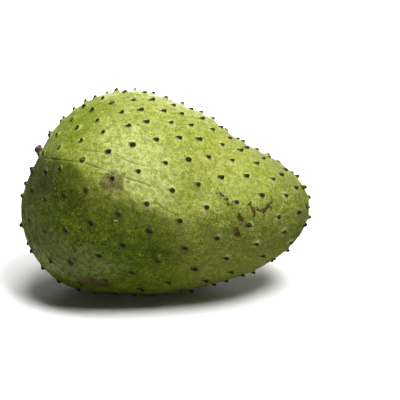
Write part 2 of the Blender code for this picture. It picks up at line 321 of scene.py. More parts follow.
# The stem's wrinkles are waves round it: how many, the crests of each (up to but not at the second number),
# their lean and their depth.
STEM_SEED = 17
WRINKLE_COUNT, WRINKLE_CRESTS, WRINKLE_LEAN, WRINKLE_DEPTH = 7, (3, 12), (-0.6, 0.6), 0.016

# The picture.
CAMERA_HEIGHT = radians(17)
CAMERA_DISTANCE = 0.9
CAMERA_AIM = (0.0242, 0, 0.065)
VIEW_WIDTH = 0.280
SENSOR = 36
CAMERA_REACH = 50
# Half the width of the table and of the card under it, and their shades of grey.
TABLE_REACH, TABLE_SHADE = 6.0, 0.92
CARD_REACH, CARD_GAP, CARD_SHADE = 1.5, 1 * MM, 0.5
# The table's glow grows between these millimetres from its middle.
GLOW_REACH = (250, 700)
# The world's grey below and above a soft horizon.
SKY_LOW, SKY_HIGH, HORIZON = 0.03, 1.0, 0.05
# Each round light's height and turn in degrees, from the camera's side towards the right, and its power.
LIGHTS = (
    ("key", 60, 45, 18),
    ("top", 85, 0, 9.3),
    ("top_back", 60, 180, 4.4),
    ("low_back", 12, 180, 5.2),
    ("low_front", 12, 0, 0.7),
)
LIGHT_TARGET, LIGHT_DISTANCE, LIGHT_SIZE = (0, 0, 0.06), 1.2, 0.55


def unit(vectors):
    return vectors / np.linalg.norm(vectors, axis=-1, keepdims=True)


def smooth_step(start, end, values):
    share = np.clip((values - start) / (end - start), 0, 1)
    return share * share * (3 - 2 * share)


def towards(angle_up, angle_back):
    return np.array([
        cos(angle_up) * cos(angle_back), sin(angle_back), sin(angle_up) * cos(angle_back)
    ])


STEM_DIRECTION = towards(*STEM_PLACE)
TIP_DIRECTION = towards(*TIP_PLACE)


def spline_weights(values):
    """Control values of the closed cubic spline that passes through the given values."""
    count = len(values)
    rows = np.eye(count) * 4 + np.roll(np.eye(count), 1, 0) + np.roll(np.eye(count), -1, 0)
    return np.linalg.solve(rows / 6, values)


def closed_spline(weights, angles):
    place = np.mod(angles / (2 * pi), 1) * len(weights)
    first = np.floor(place).astype(int)
    f = place - first
    shares = (
        (1 - f) ** 3 / 6,
        (3 * f**3 - 6 * f**2 + 4) / 6,
        (-3 * f**3 + 3 * f**2 + 3 * f + 1) / 6,
        f**3 / 6,
    )
    return sum(share * weights[(first + i - 1) % len(weights)] for i, share in enumerate(shares))


OUTLINE_WEIGHTS = spline_weights(OUTLINE)


def axes_at(along):
    """The fruit's slightly bent long axis at each share of its length, with its up and front directions."""
    share = along[:, None]
    axis = unit(-STEM_DIRECTION * (1 - share) + TIP_DIRECTION * share)
    front = unit(FRONT - (axis @ FRONT)[:, None] * axis)
    return axis, np.cross(front, axis), front


def direction_at(along, around):
    """Directions from the middle, from a share of the length and an angle round the fruit."""
    axis, up, front = axes_at(along)
    turn = pi * along[:, None]
    outwards = np.cos(around)[:, None] * up + np.sin(around)[:, None] * front
    return unit(np.sin(turn) * outwards - np.cos(turn) * axis)


def place_of(directions):
    """The share of the length and the angle round the fruit, from directions."""
    along = np.full(len(directions), 0.5)
    for _ in range(5):
        axis, up, front = axes_at(along)
        along = np.arccos(np.clip(-(directions * axis).sum(1), -1, 1)) / pi
    return along, np.arctan2((directions * front).sum(1), (directions * up).sum(1))


def tent(offset, width):
    """A rounded tent over each offset from its ridge, falling away over the given width."""
    return np.exp(-np.hypot(offset, FOLD_SOFTNESS) / width)


def between(ends, along):
    """1 along the middle of a fold and 0 beyond its ends."""
    return smooth_step(ends[0], ends[1], along) * (1 - smooth_step(ends[2], ends[3], along))


def folds(directions):
    """Height of the two lengthwise folds: one across the front, and one low on the stem end."""
    along, around = place_of(directions)
    girth = GIRTH * np.sin(pi * along)
    offset = girth * (around - FRONT_FOLD_START - FRONT_FOLD_TURN * along)
    below = smooth_step(-FOLD_SOFTNESS, FOLD_SOFTNESS, offset)
    width = FRONT_FOLD_ABOVE * (1 - below) + FRONT_FOLD_BELOW * below
    front = FRONT_FOLD_HEIGHT * tent(offset, width)
    offset = girth * (around - LOW_FOLD_START - LOW_FOLD_CURVE * (along - LOW_FOLD_PLACE) ** 2)
    low = LOW_FOLD_HEIGHT * tent(offset, LOW_FOLD_WIDTH)
    return between(FRONT_FOLD_ENDS, along) * front + between(LOW_FOLD_ENDS, along) * low


def lumps(directions):
    """Broad uneven swellings, as a sum of waves in seeded directions."""
    random = np.random.RandomState(LUMP_SEED)
    total = 0
    for _ in range(LUMP_COUNT):
        wave = random.normal(size=3) * LUMP_PACE
        total = total + np.sin(directions @ wave + random.uniform(0, 2 * pi))
    return LUMP_HEIGHT * total


def uneven(points, size):
    """Noise between about -1 and 1 at each point, with swellings of the given size."""
    return np.array([noise.noise(point) for point in (points / size).tolist()])


def bare_skin(directions):
    """Points of the skin in the given directions, before the fruit settles on its resting face."""
    across = np.hypot(directions[:, 0], directions[:, 2])
    outline = closed_spline(OUTLINE_WEIGHTS, np.arctan2(directions[:, 2], directions[:, 0]))
    half_width = np.where(directions[:, 1] < 0, HALF_WIDTH_FRONT, HALF_WIDTH_BACK)
    distance = 1 / np.hypot(across / outline, directions[:, 1] / half_width)
    from_stem = np.arccos(np.clip(directions @ STEM_DIRECTION, -1, 1))
    dimple = STEM_DIMPLE_DEPTH * np.exp(-((from_stem / STEM_DIMPLE_REACH) ** 2))
    distance = distance + folds(directions) + lumps(directions) - dimple
    return directions * distance[:, None] + (0, 0, CENTRE_HEIGHT)


def on_floor(points):
    points[:, 2] = np.maximum(points[:, 2], 0)
    return points


def side_steps(directions):
    """Two directions square to each direction and to each other."""
    first = unit(np.cross(directions, np.roll(np.eye(3), 1, 0)[np.abs(directions).argmin(1)]))
    return first, np.cross(directions, first)


def outward(directions):
    """The skin's outward normals."""
    edges = [
        bare_skin(unit(directions + SLOPE_STEP * side)) - bare_skin(unit(directions - SLOPE_STEP * side))
        for side in side_steps(directions)
    ]
    return unit(np.cross(*edges))


def aim_at(points):
    """Directions from the middle to points."""
    return unit(points - (0, 0, CENTRE_HEIGHT))


def spiral(count, start=0, turn=1, crowding=(0, 0), shifts=(0, 0)):
    """A golden-angle spiral of directions from stem to tip, spread evenly over the skin's area at first.

    crowding packs it at the stem and the tip. shifts move it round the fruit, once and twice a turn.
    """
    bands = (np.arange(AREA_BANDS) + 0.5) / AREA_BANDS
    rounds = 2 * pi * (np.arange(AREA_ROUNDS) + 0.5) / AREA_ROUNDS
    along, around = (grid.ravel() for grid in np.meshgrid(bands, rounds, indexing="ij"))
    points = bare_skin(direction_at(along, around)).reshape(AREA_BANDS, AREA_ROUNDS, 3)
    lengthwise = np.gradient(points, bands, axis=0)
    sideways = np.roll(points, -1, 1) - np.roll(points, 1, 1)
    area = np.linalg.norm(np.cross(lengthwise, sideways), axis=2).mean(1)
    area *= 1 + crowding[0] * np.exp(-((bands / STEM_CROWD_REACH) ** 2))
    area *= 1 + crowding[1] * np.exp(-(((1 - bands) / TIP_CROWD_REACH) ** 2))
    covered = np.concatenate([[0], np.cumsum(area)]) / area.sum()
    along = np.interp((np.arange(count) + 0.5) / count, covered, np.linspace(0, 1, len(covered)))
    around = start + turn * GOLDEN_ANGLE * np.arange(count)
    shift = shifts[0] * np.sin(around - WAVE_ONE_PLACE + pi)
    shift += shifts[1] * np.sin(2 * (around - WAVE_TWO_PLACE))
    return direction_at(along, around + smooth_step(*WAVE_RISE, along) * shift)


def spine_places():
    """Directions, heights and breaks of the spines, drawn in the same order as in the part's source."""
    random = np.random.RandomState(SPINE_SEED)
    directions = spiral(
        SPINE_COUNT, SPINE_START, SPINE_TURN, (STEM_CROWDING, TIP_CROWDING), (WAVE_ONE, WAVE_TWO)
    )
    scatter = random.normal(size=(SPINE_COUNT, 3)) * SPINE_SCATTER
    directions = aim_at(bare_skin(directions) + scatter)
    heights = SPINE_HEIGHT * random.uniform(*HEIGHT_SPREAD, SPINE_COUNT)
    broken = random.uniform(size=SPINE_COUNT) < BROKEN_SHARE
    heights[broken] *= BROKEN_HEIGHT
    feet, normals = bare_skin(directions), outward(directions)
    room = (feet[:, 2] - FLOOR_GAP) / np.maximum(-normals[:, 2], 1e-6)
    heights = np.minimum(heights, np.where(normals[:, 2] < 0, room, heights))
    from_stem = np.linalg.norm(feet - on_floor(bare_skin(STEM_DIRECTION[None])), axis=1)
    kept = (heights > SHORTEST_SPINE) & (from_stem > STEM_CLEARANCE) & (feet[:, 2] > REST_CLEARANCE)
    return directions[kept], heights[kept], broken[kept]


def line_points(places):
    """Points of the skin along a line through the given places."""
    places = np.array(places, float)
    steps = np.linspace(0, len(places) - 1, LINE_STEPS * len(places))
    along = np.interp(steps, np.arange(len(places)), places[:, 0])
    around = np.radians(np.interp(steps, np.arange(len(places)), places[:, 1]))
    points = bare_skin(direction_at(along, around))
    run = np.concatenate([[0], np.cumsum(np.linalg.norm(np.diff(points, axis=0), axis=1))])
    even = np.linspace(0, run[-1], int(run[-1] / LINE_SPACING) + 2)
    return np.stack([np.interp(even, run, points[:, i]) for i in range(3)], 1)


def nearest(points, targets, count=1):
    """The nearest targets of each point: their numbers and distances, nearest first."""
    numbers, distances = [], []
    for part in np.array_split(points, max(1, len(points) * len(targets) // MOST_PAIRS)):
        apart = np.linalg.norm(part[:, None] - targets[None], axis=2)
        order = np.argsort(apart, axis=1)[:, :count] if count > 1 else apart.argmin(1)[:, None]
        numbers.append(order)
        distances.append(np.take_along_axis(apart, order, 1))
    return np.concatenate(numbers), np.concatenate(distances)


class Skin:
    """The fruit's relief and marks, worked out for any directions."""

    def __init__(self):
        self.spines, self.heights, self.broken = spine_places()
        self.feet = on_floor(bare_skin(self.spines))
        self.normals = outward(self.spines)
        tipwards = TIP_DIRECTION - (self.normals @ TIP_DIRECTION)[:, None] * self.normals
        steepness = np.linalg.norm(tipwards, axis=1, keepdims=True)
        self.tipwards = tipwards / np.maximum(steepness, 1e-6)
        self.leans = SPINE_LEAN * self.tipwards * np.minimum(1, steepness)
        self.lines = {name: [line_points(places) for places in lines] for name, lines in LINES.items()}
        self.stem_foot = bare_skin(STEM_DIRECTION[None])[0]

    def marks(self, directions):
        """Named values for each direction, in millimetres where they are distances."""
        points = bare_skin(directions)
        along, around = place_of(directions)
        near, apart = nearest(points, self.feet, 2)
        first = near[:, 0]
        offset = points - self.feet[first]
        side = np.cross(self.normals[first], self.tipwards[first])
        lines = {}
        for name, line_set in self.lines.items():
            apart_all = [nearest(points, line)[1][:, 0] / MM for line in line_set]
            lines[name] = np.min(apart_all, axis=0)
            if name == "crease":
                lines["crease_share"] = np.array(CREASE_SHARES)[np.argmin(apart_all, axis=0)]
        scab = bare_skin(direction_at(np.array([SCAB_PLACE[0]]), np.radians([SCAB_PLACE[1]])))[0]
        from_scab = points - scab
        scab_share = np.hypot(from_scab[:, 0] / SCAB_REACH[0], from_scab[:, 2] / SCAB_REACH[1])
        scab_share = np.where(points[:, 1] < 0, scab_share, NO_SCAB)
        return {
            "along": along,
            "around": around,
            "spine": first,
            "spine_offset": np.stack(
                [(offset * self.tipwards[first]).sum(1), (offset * side).sum(1), apart[:, 0]], 1
            ) / MM,
            "border": (apart[:, 1] - apart[:, 0]) / MM,
            **lines,
            "scab": scab_share,
            "from_stem": np.linalg.norm(points - self.stem_foot, axis=1) / MM,
        }

    def relief(self, directions, marks):
        """Height of the fine forms over the bare skin."""
        border = np.exp(-((marks["border"] * MM / BORDER_WIDTH) ** 2))
        from_spine = marks["spine_offset"][:, 2] * MM
        swell = 1 - smooth_step(0, PATCH_REACH, from_spine)
        fade = smooth_step(*STEM_FADE, marks["from_stem"])
        height = (PATCH_SWELL * swell - BORDER_DEPTH * border) * fade
        crease = marks["crease_share"] * np.exp(-((marks["crease"] * MM / CREASE_WIDTH) ** 2))
        height -= CREASE_DEPTH * crease
        points = bare_skin(directions)
        rough = SCAR_ROUGHNESS + uneven(points, SCAR_LUMPS)
        height -= SCAR_DEPTH * rough * np.exp(-((marks["scar"] * MM / SCAR_WIDTH) ** 2))
        for size, depth in RIPPLES:
            height += depth * uneven(points, size)
        return height


class Net:
    """Points of a closed skin, each with the direction that places it among its neighbours."""

    def __init__(self):
        self.directions, self.offsets, self.rises, self.edges = [], [], [], []
        self.count = 0

    def add(self, directions, offsets=(0, 0, 0), rise=-1.0):
        self.directions.append(directions)
        self.offsets.append(np.broadcast_to(offsets, directions.shape))
        self.rises.append(np.full(len(directions), rise))
        self.count += len(directions)

    def add_ring(self, directions, offsets, rise=-1.0):
        ring = self.count + np.arange(len(directions))
        self.edges += list(zip(ring.tolist(), np.roll(ring, -1).tolist()))
        self.add(directions, offsets, rise)

    def faces(self):
        """Triangles over the whole net. The last point has to be the one straight down."""
        directions = np.concatenate(self.directions)[:-1]
        flat = directions[:, :2] / (1 + directions[:, 2:])
        found = delaunay_2d_cdt([Vector(pair) for pair in flat], self.edges, [], 0, 1e-7)
        source = [first[0] for first in found[3]]
        faces = [[source[corner] for corner in face] for face in found[2]]
        sides = {(face[i - 1], face[i]) for face in faces for i in range(3)}
        rim = [(a, b) for a, b in sides if (b, a) not in sides]
        return faces + [[b, a, self.count - 1] for a, b in rim]


def ring_of(centre, sides, radius, sideways):
    """Directions of the points of a ring round a point of the skin."""
    turns = 2 * pi * np.arange(sides) / sides
    first, second = sideways
    around = np.cos(turns)[:, None] * first + np.sin(turns)[:, None] * second
    return aim_at(centre + np.reshape(radius, (-1, 1)) * around)


def add_spines(net, skin):
    """Each spine is a fleshy cone with its own waist, flutes and hook."""
    random = np.random.RandomState(SPINE_SHAPE_SEED)
    turns = 2 * pi * np.arange(SPINE_SIDES) / SPINE_SIDES
    spacing = nearest(skin.feet, skin.feet, 2)[1][:, 1]
    skirt = []
    for number, foot in enumerate(skin.feet):
        blunt, height, normal = skin.broken[number], skin.heights[number], skin.normals[number]
        lean = (0 if blunt else LEAN_SHARE) * skin.leans[number]
        width = min(SPINE_BASE * random.uniform(*WIDTH_SPREAD), SPINE_SHARE * spacing[number])
        stretch, heading = random.uniform(*STRETCH_SPREAD), random.uniform(0, pi)
        flute, start = random.uniform(*FLUTE_SPREAD), random.uniform(0, 2 * pi)
        shape = 1 + stretch * np.cos(2 * (turns - heading)) + flute * np.cos(FLUTES * turns + start)
        ragged = RAGGED_SHARE * random.normal(size=SPINE_SIDES)
        sideways = [side[0] for side in side_steps(normal[None])]
        for share, rise in SPINE_SKIRT:
            ring = ring_of(foot, SPINE_SIDES, width * share, sideways)
            own = np.linalg.norm(bare_skin(ring)[:, None] - skin.feet[None], axis=2)
            apart = np.delete(own, number, 1).min(1)
            clear = apart > own[:, number] + SKIRT_GAP
            skirt.append((ring[clear], rise * height * normal, rise))
        for share, rise in BROKEN_RINGS if blunt else SPINE_RINGS:
            radius = width * share * (1 + (shape - 1) * min(1, 2 * rise))
            ring = ring_of(foot, SPINE_SIDES, radius, sideways)
            lift = rise * height * normal + rise**LEAN_POWER * lean
            crown = (ragged if blunt and rise > RAGGED_FROM else 0 * ragged)[:, None] * height * normal
            net.add_ring(ring, lift + crown, rise)
        tip = (BROKEN_TIP if blunt else 1) * height * normal + lean
        net.add(aim_at(foot[None]), tip[None], 1.0)
    for ring, lift, rise in skirt:
        net.add(ring, lift, rise)


def add_socket(net, skin):
    """The stem's socket. Gives the direction that the stem grows in."""
    foot, normal = skin.stem_foot, outward(STEM_DIRECTION[None])[0]
    sideways = [side[0] for side in side_steps(normal[None])]
    for radius, depth in SOCKET_RINGS:
        net.add_ring(ring_of(foot, SOCKET_SIDES, radius, sideways), -depth * normal)
    net.add(aim_at(foot[None]), -SOCKET_RINGS[-1][1] * normal[None])
    return normal


def add_fill(net, skin):
    """Plain skin between the spines, closer together along the fine marks, then the point straight down."""
    lines = np.concatenate([line for line_set in skin.lines.values() for line in line_set])
    for count, wants_fine in ((FILL_COUNT, False), (FINE_COUNT, True)):
        directions = spiral(count)
        points = bare_skin(directions)
        if wants_fine:
            low, high = lines.min(0) - FINE_REACH, lines.max(0) + FINE_REACH
            inside = ((points > low) & (points < high)).all(1)
            directions, points = directions[inside], points[inside]
        fine = nearest(points, lines)[1][:, 0] < FINE_REACH
        from_spine = nearest(points, skin.feet)[1][:, 0]
        from_stem = np.linalg.norm(points - skin.stem_foot, axis=1)
        kept = (from_spine > FILL_CLEARANCE) & (from_stem > STEM_CLEARANCE) & (fine == wants_fine)
        net.add(directions[kept])
    net.add(DOWN[None])


def new_mesh(name, points, faces):
    mesh = bpy.data.meshes.new(name)
    mesh.from_pydata(points.tolist(), [], faces)
    mesh.polygons.foreach_set("use_smooth", np.ones(len(mesh.polygons), bool))
    return mesh


def set_mark(mesh, name, values):
    """Keeps values on the mesh's points, for the materials to read."""
    values = np.asarray(values, np.float32)
    kind = "FLOAT" if values.ndim == 1 else "FLOAT_VECTOR"
    attribute = mesh.attributes.new(name, kind, "POINT")
    attribute.data.foreach_set("value" if kind == "FLOAT" else "vector", values.ravel())


def make_fruit():
    """The fruit's object, the shift that centres it, and the stem's foot and direction."""
    skin, net = Skin(), Net()
    add_spines(net, skin)
    stem_axis = add_socket(net, skin)
    add_fill(net, skin)
    directions = np.concatenate(net.directions)
    rises = np.concatenate(net.rises)
    marks = skin.marks(directions)
    height = skin.relief(directions, marks)
    points = on_floor(bare_skin(directions) + height[:, None] * directions)
    points = on_floor(points + np.concatenate(net.offsets))
    low, high = (np.array(corner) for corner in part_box("fruit"))
    shift = (low + high) / 2 - (points.min(0) + points.max(0)) / 2
    shift[2] = 0
    mesh = new_mesh("fruit_skin", points + shift, net.faces())
    random = np.random.RandomState(SPINE_TONE_SEED)
    tones = random.uniform(size=len(skin.feet))
    set_mark(mesh, "rise", rises)
    set_mark(mesh, "spine_tone", tones[marks["spine"]])
    set_mark(mesh, "broken", skin.broken[marks["spine"]])
    for name in ("spine_offset", "border", "scab", "crease_share", *LINES):
        set_mark(mesh, name, marks[name])
    around = marks["around"]
    turn = np.stack([np.cos(around), np.sin(around)], 1)
    set_mark(mesh, "meridian", np.column_stack([STREAKS_ALONG * marks["along"], STREAKS_ROUND * turn]))
    for name, values in regions(marks).items():
        set_mark(mesh, name, values)
    fruit = bpy.data.objects.new("fruit_skin", mesh)
    bpy.context.scene.collection.objects.link(fruit)
    return fruit, skin.stem_foot + shift, stem_axis


def regions(marks):
    """How far each point of the skin belongs to each patch of colour."""
    along, around = marks["along"], np.degrees(marks["around"])
    shares = {}
    for name, patches in PATCHES.items():
        shares[name] = 0
        for place, turn, reach, width, strength in patches:
            apart = (around - turn + 180) % 360 - 180
            spread = ((along - place) / reach) ** 2 + (apart / width) ** 2
            shares[name] = shares[name] + strength * np.exp(-spread)
    # The deeper green below the front fold, partly painted shade: it starts at the bright front skin's edge,
    # crisp or soft, and starts lower and weakens round the back.
    girth = GIRTH * np.sin(pi * along) / MM
    back = smooth_step(*BACK_FADE, np.sin(marks["around"]))
    below = girth * np.radians(np.abs(around) - np.interp(along, *DARK_EDGE)) - BACK_DROP * back
    crisp = np.interp(along, *DARK_CRISP)
    deep_green_and_shade = crisp * smooth_step(*CRISP_EDGE, below) + (1 - crisp) * smooth_step(*SOFT_EDGE, below)
    shares["deep_green_and_shade"] = deep_green_and_shade * np.interp(along, *DARK_HOLD) * (1 - BACK_LOSS * back)
    return shares


def make_stem(foot, axis):
    """The stem stub: a wrinkled tube that bends upwards and ends in a rounded break."""
    upwards = unit(np.array([0, 0, 1.0]) - axis[2] * axis)
    sideways = np.cross(axis, upwards)
    length = STEM_PROFILE[-1, 0]
    random = np.random.RandomState(STEM_SEED)
    turns = 2 * pi * np.arange(STEM_SIDES) / STEM_SIDES
    wrinkles = [
        (random.randint(*WRINKLE_CRESTS), random.uniform(0, 2 * pi), random.uniform(*WRINKLE_LEAN))
        for _ in range(WRINKLE_COUNT)
    ]
    numbers = np.arange(len(STEM_PROFILE))
    rows = np.interp(np.linspace(0, 1, STEM_RINGS), np.linspace(0, 1, len(STEM_PROFILE)), numbers)
    points = []
    for row in rows:
        distance, radius = (np.interp(row, numbers, column) for column in STEM_PROFILE.T)
        bend = STEM_BEND * max(distance, 0) / length
        heading = cos(bend) * axis + sin(bend) * upwards
        rise = cos(bend) * upwards - sin(bend) * axis
        shape = sum(np.sin(count * turns + start + lean * distance / MM) for count, start, lean in wrinkles)
        spread = radius * (1 + WRINKLE_DEPTH * shape)
        ring = foot + distance * heading
        ring = ring + spread[:, None] * (np.cos(turns)[:, None] * rise + np.sin(turns)[:, None] * sideways)
        points.append(ring)
    end = foot + (length - STEM_END_TUCK) * (cos(STEM_BEND) * axis + sin(STEM_BEND) * upwards)
    root = foot + STEM_PROFILE[0, 0] * axis
    points = np.concatenate(points + [root[None], end[None]])
    faces = []
    for ring in range(STEM_RINGS - 1):
        for side in range(STEM_SIDES):
            a, b = ring * STEM_SIDES + side, ring * STEM_SIDES + (side + 1) % STEM_SIDES
            faces.append((a, b, b + STEM_SIDES, a + STEM_SIDES))
    last, first_cap, last_cap = (STEM_RINGS - 1) * STEM_SIDES, len(points) - 2, len(points) - 1
    for side in range(STEM_SIDES):
        after = (side + 1) % STEM_SIDES
        faces.append((first_cap, after, side))
        faces.append((last_cap, last + side, last + after))
    mesh = new_mesh("stem_stub", points, faces)
    stem = bpy.data.objects.new("stem_stub", mesh)
    bpy.context.scene.collection.objects.link(stem)
    return stem


def colour(name):
    """The linear colour of one of the named colours."""
    shares = np.array(COLOURS[name]) / 255
    return (*np.where(shares > 0.04045, ((shares + 0.055) / 1.055) ** 2.4, shares / 12.92), 1)


class Material:
    """A node material that starts from its Principled shader, with short calls for the usual nodes."""

    def __init__(self, name):
        self.material = bpy.data.materials.new(name)
        self.material.use_nodes = True
        self.tree = self.material.node_tree
        self.shader = self.tree.nodes["Principled BSDF"]
        place = self.node("TexCoord").outputs["Object"]
        self.place = self.node("VectorMath", {0: place, "Scale": 1 / MM}, operation="SCALE").outputs[0]

    def node(self, kind, inputs=None, **settings):
        made = self.tree.nodes.new("ShaderNode" + kind)
        for name, value in settings.items():
            setattr(made, name, value)
        for name, value in (inputs or {}).items():
            self.feed(made.inputs[name], value)
        return made

    def feed(self, socket, value):
        if isinstance(value, bpy.types.NodeSocket):
            self.tree.links.new(value, socket)
        else:
            socket.default_value = value

    def give(self, name, value):
        """Feeds one of the shader's own inputs."""
        self.feed(self.shader.inputs[name], value)

    def mark(self, name, output="Fac"):
        """The values that set_mark kept on the mesh."""
        return self.node("Attribute", attribute_name=name).outputs[output]

    def maths(self, operation, first, *others):
        """The operation on the first two values, then on what comes out and the third, and so on."""
        for other in others:
            first = self.node("Math", {0: first, 1: other}, operation=operation).outputs[0]
        return first

    def plus(self, *values):
        return self.maths("ADD", *values)

    def minus(self, first, second):
        return self.maths("SUBTRACT", first, second)

    def times(self, *values):
        return self.maths("MULTIPLY", *values)

    def most(self, *values):
        return self.maths("MAXIMUM", *values)

    def swing(self, value, reach):
        """The value's distance from a half, times the reach."""
        return self.times(self.minus(value, 0.5), reach)

    def noise(self, size, detail=2.0, roughness=0.5, place=None):
        """Noise with features of about the given size in millimetres, mostly between 0.3 and 0.7."""
        inputs = {
            "Vector": place or self.place, "Scale": 1 / size, "Detail": detail, "Roughness": roughness,
        }
        return self.node("TexNoise", inputs).outputs["Fac"]

    def step(self, value, start, end, low=0.0, high=1.0):
        """A smooth step from low to high as the value goes from start to end."""
        inputs = {"Value": value, "From Min": start, "From Max": end, "To Min": low, "To Max": high}
        return self.node("MapRange", inputs, interpolation_type="SMOOTHSTEP").outputs[0]

    def mix(self, share, first, second, kind="MIX"):
        made = self.node("Mix", data_type="RGBA", blend_type=kind)
        self.feed(made.inputs[0], share)
        self.feed(made.inputs[6], first)
        self.feed(made.inputs[7], second)
        return made.outputs[2]

    def darken(self, share, first, second):
        """The first colour, multiplied by the second over the given share."""
        return self.mix(share, first, self.mix(1.0, first, second, "MULTIPLY"))

    def bump(self, height, distance):
        """A bump whose height of 1 stands distance millimetres proud."""
        inputs = {"Height": height, "Distance": distance * MM, "Strength": 1.0}
        return self.node("Bump", inputs).outputs[0]


def broad_skin(m, mottle, close):
    """Yellow-green skin with greener, paler, deeper and greyer patches that mottling breaks up. The paler
    patches are partly a painted sheen, the deeper green below the front fold is partly painted shade, and the
    pale rim low on the stem end is a painted reflection.
    """
    mottling = m.plus(m.swing(mottle, 1.1), m.swing(close, 0.7))
    skin = m.mix(m.step(m.noise(18, 4, 0.6), 0.38, 0.62), colour("skin_light"), colour("skin_dark"))
    skin = m.mix(m.step(mottle, 0.6, 0.4, 0, 0.5), skin, colour("mottle"))
    for name, share in REGION_SHARES.items():
        amount = m.plus(m.mark(name), mottling)
        skin = m.mix(m.step(amount, 0.12, 0.95, 0, share), skin, colour(name))
    return skin


def grained_skin(m, skin, lit_pale_share, close, grain):
    """The skin with close blotches, darker pores, and a pale stipple that comes and goes. Each has a darker
    copy for the deeper green below the front fold, which is partly painted shade.
    """
    shade = m.mix(lit_pale_share, colour("blotch_on_dark"), colour("blotch_on_bright"))
    skin = m.darken(m.step(close, 0.6, 0.4, 0, 0.6), skin, shade)
    shade = m.mix(lit_pale_share, colour("pore_on_dark"), colour("pore_on_bright"))
    skin = m.darken(m.step(grain, 0.54, 0.34, 0, 0.8), skin, shade)
    stipple = m.plus(m.noise(1.3, 2, 0.7), m.swing(m.noise(9, 3, 0.6), 0.5))
    stipple = m.step(stipple, 0.54, 0.66)
    shade = m.mix(lit_pale_share, colour("stipple_on_dark"), colour("stipple_on_bright"))
    skin = m.mix(m.times(stipple, m.step(lit_pale_share, 0, 1, 0.52, 0.36)), skin, shade)
    return skin, stipple


def lined_skin(m, skin, close):
    """The skin with fine streaks out from the stem, and borders between the patches round the spines."""
    streak = m.noise(1, 3, 0.6, place=m.mark("meridian", "Vector"))
    skin = m.darken(m.step(streak, 0.45, 0.3, 0, 0.3), skin, colour("streak"))
    border = m.plus(m.mark("border"), m.swing(close, 3))
    skin = m.darken(m.step(border, 1.5, 0, 0, 0.3), skin, colour("border"))
    return skin, streak


def spined_skin(m, skin, lit_pale_share, wobble):
    """The skin with its spines: each has a ring and a tail, and is dark down to a ragged foot. Below the
    front fold the rings and spines take darker copies as painted shade, and some spines fade into the skin.
    """
    # The deeper green below the front fold, which is partly painted shade.
    dark = m.minus(1.0, lit_pale_share)
    tipwards, sideways, apart = m.node("SeparateXYZ", {0: m.mark("spine_offset", "Vector")}).outputs
    patchy = m.step(m.noise(9, 1), 0.35, 0.6, 0.0, 0.4)
    ring = m.times(m.step(m.plus(apart, wobble), 4.6, 2.4), patchy)
    # Rings are pale on the bright skin and brown, painted shade, below the front fold.
    skin = m.mix(m.times(ring, lit_pale_share), skin, colour("ring_on_bright"))
    skin = m.mix(m.times(ring, dark), skin, colour("ring_on_dark"))

    tone = m.mark("spine_tone")
    across = m.node("Math", {0: m.plus(sideways, m.times(wobble, 0.5))}, operation="ABSOLUTE").outputs[0]
    wedge = m.step(m.minus(across, m.times(tipwards, 0.22)), 1.6, 0.8)
    end = m.step(m.minus(tipwards, m.step(tone, 0, 1, -6.5, -3.0)), 0, 2.5)
    tail = m.times(wedge, end, m.step(tipwards, 0.5, -0.5))
    skin = m.mix(m.times(tail, 0.6), skin, colour("tail"))

    rise = m.mark("rise")
    reach = m.plus(m.times(wobble, 0.24), m.swing(tone, 0.26))
    reach = m.minus(reach, m.times(tipwards, 0.07))
    body = m.step(m.plus(rise, reach), 0.14, 0.42)
    spine = m.mix(m.noise(2.5, 1), colour("spine_black"), colour("spine_brown"))
    # Painted glints: paler flecks over the spines.
    spine = m.mix(m.step(m.noise(0.8, 2), 0.52, 0.74), spine, colour("spine_glint"))
    stub = m.times(m.mark("broken"), m.step(rise, 0.8, 0.88))
    spine = m.mix(m.times(stub, 0.6), spine, colour("spine_break"))
    # Painted shade: below the front fold the spines are darker, and some fade into the skin.
    spine = m.mix(m.step(lit_pale_share, 1, 0, 0, 0.7), spine, colour("spine_in_shade"))
    faint = m.times(m.step(tone, 0.6, 1, 0, 0.38), dark)
    return m.mix(m.times(body, m.minus(1.0, faint)), skin, spine), body


def marked_skin(m, skin, spines, wobble, grain):
    """The skin with its creases, scars, spots, chip and scab. The creases are darkened with painted shade
    along their grooves. The scab keeps clear of the spines.
    """
    # Painted shade: the creases are darkened along their grooves.
    edge = m.plus(m.mark("crease"), m.times(wobble, 0.4))
    fade = m.times(m.step(m.noise(8, 2), 0.35, 0.6, 0.1, 0.8), m.mark("crease_share"))
    skin = m.mix(m.times(m.step(edge, 0.6, 0.1), fade), skin, colour("crease"))

    blobs = m.noise(3, 3, 0.65)
    from_scar = m.plus(m.mark("scar"), m.swing(m.noise(5, 2), 6))
    rim = m.step(m.plus(from_scar, m.swing(blobs, 8)), 2.4, 0.8)
    skin = m.mix(m.times(rim, 0.55), skin, colour("scar_rim"))
    scar = m.step(m.plus(from_scar, m.swing(blobs, 15)), 1.3, 0.3)
    shade = m.mix(m.step(grain, 0.4, 0.6), colour("scar_black"), colour("scar_brown"))
    skin = m.mix(m.times(scar, 0.95), skin, shade)

    spot = m.step(m.plus(m.mark("spot"), m.swing(grain, 3)), 1.4, 0.4)
    skin = m.mix(m.times(spot, 0.55), skin, colour("spot"))
    chip = m.step(m.plus(m.mark("chip"), m.swing(grain, 1)), 0.7, 0.3)
    skin = m.mix(m.times(chip, 0.9), skin, colour("chip"))

    patch = m.step(m.plus(m.mark("scab"), m.swing(m.noise(3.5, 3), 1.5)), 1.15, 0.6)
    flakes = m.step(m.noise(0.8, 3, 0.75), 0.42, 0.54, 0.15, 1)
    scab = m.times(patch, flakes, m.minus(1.0, spines))
    shade = m.mix(m.step(m.noise(2.4, 1), 0.4, 0.6), colour("scab_red"), colour("scab_brown"))
    return m.mix(m.times(scab, 0.85), skin, shade), scar, patch, scab


